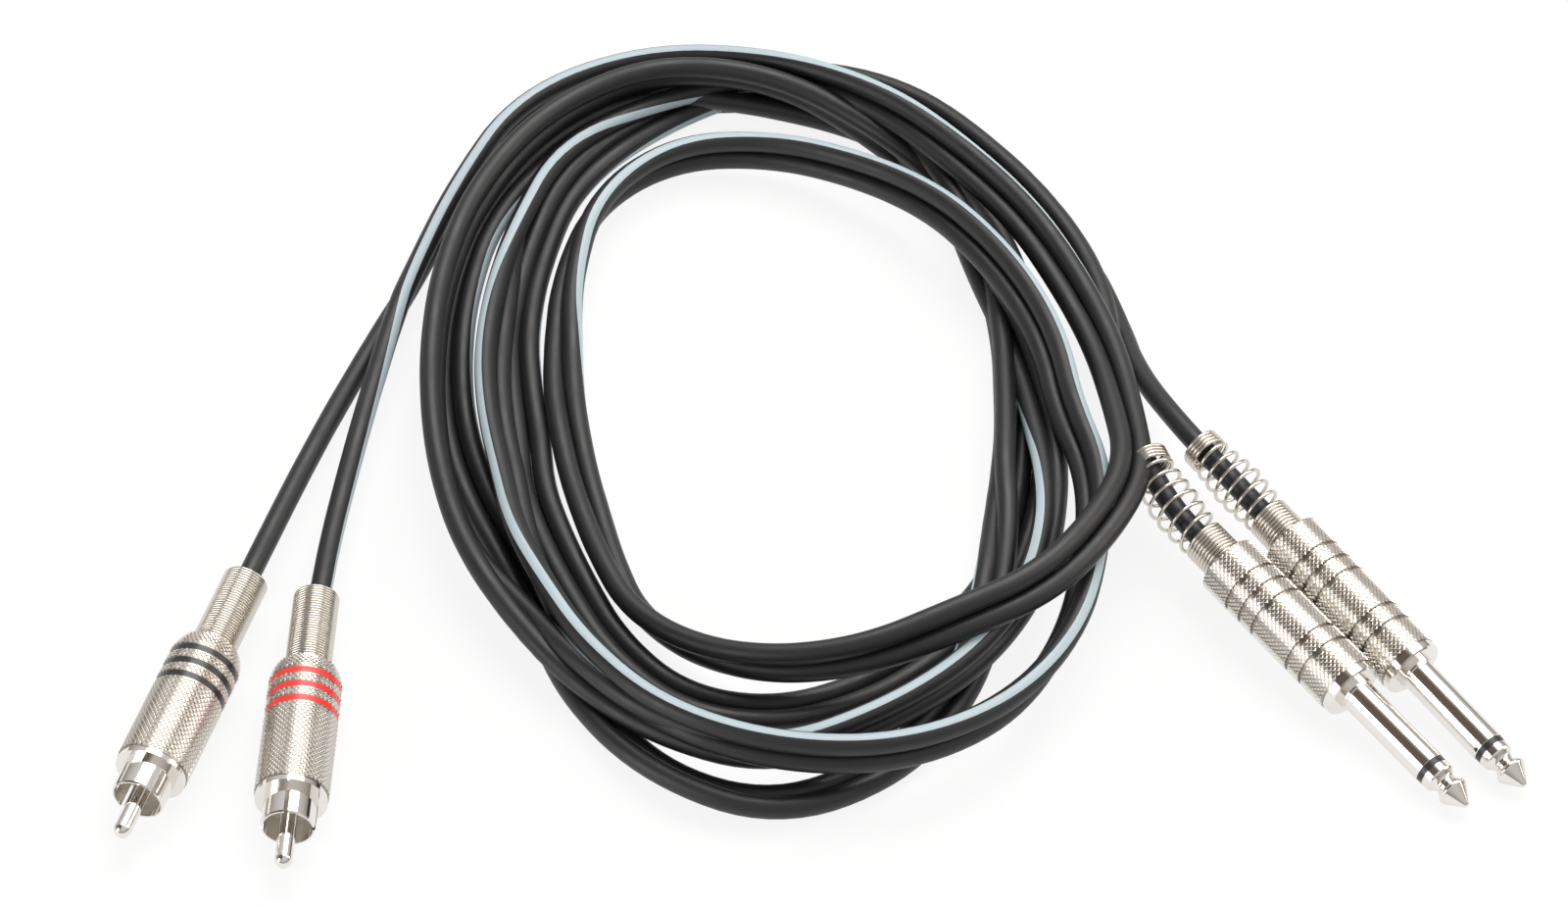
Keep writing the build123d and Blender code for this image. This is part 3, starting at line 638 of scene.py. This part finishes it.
# shell radius in mm, diamonds around, and where each knurled stretch starts and ends
knurl_zones = {
    "phono": (6.5, 41, [(7.25, 23.55), (25.15, 26.75), (28.35, 30.0), (31.65, 35.2)]),
    "jack": (5.85, 38, [(32.1, 37.55), (38.45, 41.15), (42.0, 50.6), (51.4, 54.0), (54.8, 57.5),
                        (58.3, 64.2)]),
}
for plug in plugs:
    size, around, zones = knurl_zones[plug.split("_")[0]]
    step = row_stretch * pi * size / around
    for part, (start, end) in enumerate(zones):
        rows = round((end - start) / step)
        drop = shoulder_drop if (plug.startswith("phono") and part == 3) else 0.0
        grow(f"{plug}_knurl_{part + 1}", bpy.data.meshes.new("dots"), knurl, {
            "Radius": (size - knurl_sunk) / 1000, "Behind": start / 1000, "Rows": rows,
            "Row Step": (end - start) / rows / 1000, "Around": around,
            "Proud": knurl_height / 1000,
            "Drop": drop / 1000}, f"{plug}_cover",
            Matrix.LocRotScale(plug_frame(plug).translation / 1000,
                               plug_frame(plug).to_3x3(), None))


def dress(node, material):
    """Gives a part that keeps its shape its real finish."""
    piece = nodes[node]
    for slot in piece.material_slots:
        slot.material = material
    if not piece.material_slots:
        piece.data.materials.append(material)


# shells and barrels under the diamonds wear the darker nickel, as painted shade in the roots
for plug in plugs:
    if plug.startswith("phono"):
        dress(f"{plug}_shell", knurl_root_painted_shade)
    else:
        dress(f"{plug}_barrel", knurl_root_painted_shade)


# ---- Enamel bands ----
# Baked enamel wiped into the three grooves of each phono shell: glossy, a little uneven,
# and black or red to tell the channels apart.
def plastic(name, colour, shade, rough, scale=300.0, clear=0.0, ior=1.5):
    """Paint or moulded plastic: two close shades in soft patches and an uneven gloss."""
    material, tree, out = new_finish(name)
    place = add(tree, "ShaderNodeTexCoord")
    patches = add(tree, "ShaderNodeTexNoise", {"Vector": place.outputs["Object"],
                  "Scale": scale, "Detail": 4.0, "Roughness": 0.6})
    both = add(tree, "ShaderNodeMix", {0: patches.outputs["Fac"], 6: linear(colour),
               7: linear(shade)}, data_type="RGBA")
    gloss = add(tree, "ShaderNodeMapRange", {"Value": patches.outputs["Fac"], "From Min": 0.3,
                "From Max": 0.7, "To Min": rough[0], "To Max": rough[1]})
    bump = add(tree, "ShaderNodeBump", {"Strength": 0.15, "Distance": 0.00005,
               "Height": patches.outputs["Fac"]})
    skin = add(tree, "ShaderNodeBsdfPrincipled", {"Base Color": both.outputs[2],
               "Roughness": gloss.outputs[0], "Normal": bump.outputs[0], "IOR": ior,
               "Coat Weight": clear})
    tree.links.new(skin.outputs[0], out.inputs[0])
    return material


dress("phono_black_colour_bands", plastic("black baked enamel", "#232425", "#2F3031",
                                          (0.25, 0.4), 500.0))
dress("phono_red_colour_bands", plastic("red baked enamel", "#E4302A", "#EE4038",
                                        (0.25, 0.4), 500.0))


# ---- Phono contact rings and pins ----
# Turned brass, polished and nickel plated: the slotted spring ring grips a socket, and
# the hollow pin stands in a pale moulded insulator.
pale_moulding = plastic("pale moulded insulator", "#D9D3C6", "#E3DED2", (0.35, 0.5))
for plug in ("phono_black", "phono_red"):
    dress(f"{plug}_contact_ring", polished)
    dress(f"{plug}_centre_pin", polished)
    dress(f"{plug}_insulator", pale_moulding)


# ---- Jack tips, rings and sleeves ----
# Turned brass under bright nickel; the tip and the sleeve are held apart by a black
# moulded ring.
black_moulding = plastic("black moulded ring", "#262625", "#323230", (0.3, 0.45))
for plug in ("jack_1", "jack_2"):
    dress(f"{plug}_tip", polished)
    dress(f"{plug}_sleeve", polished)
    dress(f"{plug}_insulator", black_moulding)
    dress(f"{plug}_rear_washer", black_moulding)


# ---- Inside the plugs ----
# Stamped tinned brass clamps and lugs, stripped copper strands in their insulation, and a
# thin plastic tube that keeps the joints off the barrel.
def tinned(name):
    """Hot tinned sheet: dull silver, with soft flow patches from the dip."""
    material, tree, out = new_finish(name)
    place = add(tree, "ShaderNodeTexCoord")
    flow = add(tree, "ShaderNodeTexNoise", {"Vector": place.outputs["Object"], "Scale": 450.0,
               "Detail": 3.0, "Distortion": 1.2})
    gloss = add(tree, "ShaderNodeMapRange", {"Value": flow.outputs["Fac"], "To Min": 0.22,
                "To Max": 0.42})
    bump = add(tree, "ShaderNodeBump", {"Strength": 0.2, "Distance": 0.00005,
               "Height": flow.outputs["Fac"]})
    metal = add(tree, "ShaderNodeBsdfPrincipled", {"Base Color": linear("#C9C7C1"),
                "Metallic": 1.0, "Roughness": gloss.outputs[0], "Normal": bump.outputs[0]})
    tree.links.new(metal.outputs[0], out.inputs[0])
    return material


def strands(name):
    """Bunched copper strands: fine lines with small changes of colour where they oxidise."""
    material, tree, out = new_finish(name)
    place = add(tree, "ShaderNodeTexCoord")
    fine = add(tree, "ShaderNodeTexNoise", {"Vector": place.outputs["Object"], "Scale": 2200.0,
               "Detail": 2.0})
    both = add(tree, "ShaderNodeMix", {0: fine.outputs["Fac"], 6: linear("#A9623C"),
               7: linear("#D08A5C")}, data_type="RGBA")
    bump = add(tree, "ShaderNodeBump", {"Strength": 0.4, "Distance": 0.00008,
               "Height": fine.outputs["Fac"]})
    metal = add(tree, "ShaderNodeBsdfPrincipled", {"Base Color": both.outputs[2],
                "Metallic": 1.0, "Roughness": 0.35, "Normal": bump.outputs[0]})
    tree.links.new(metal.outputs[0], out.inputs[0])
    return material


tinned_sheet, copper = tinned("tinned brass sheet"), strands("bare copper strands")
thin_tube = plastic("thin plastic tube", "#CFCCC0", "#DAD7CC", (0.2, 0.32))
for plug in plugs:
    dress(f"{plug}_cord_clamp", tinned_sheet)
    dress(f"{plug}_wires", copper)
    if plug.startswith("jack"):
        dress(f"{plug}_tip_lug", tinned_sheet)
        dress(f"{plug}_liner", thin_tube)
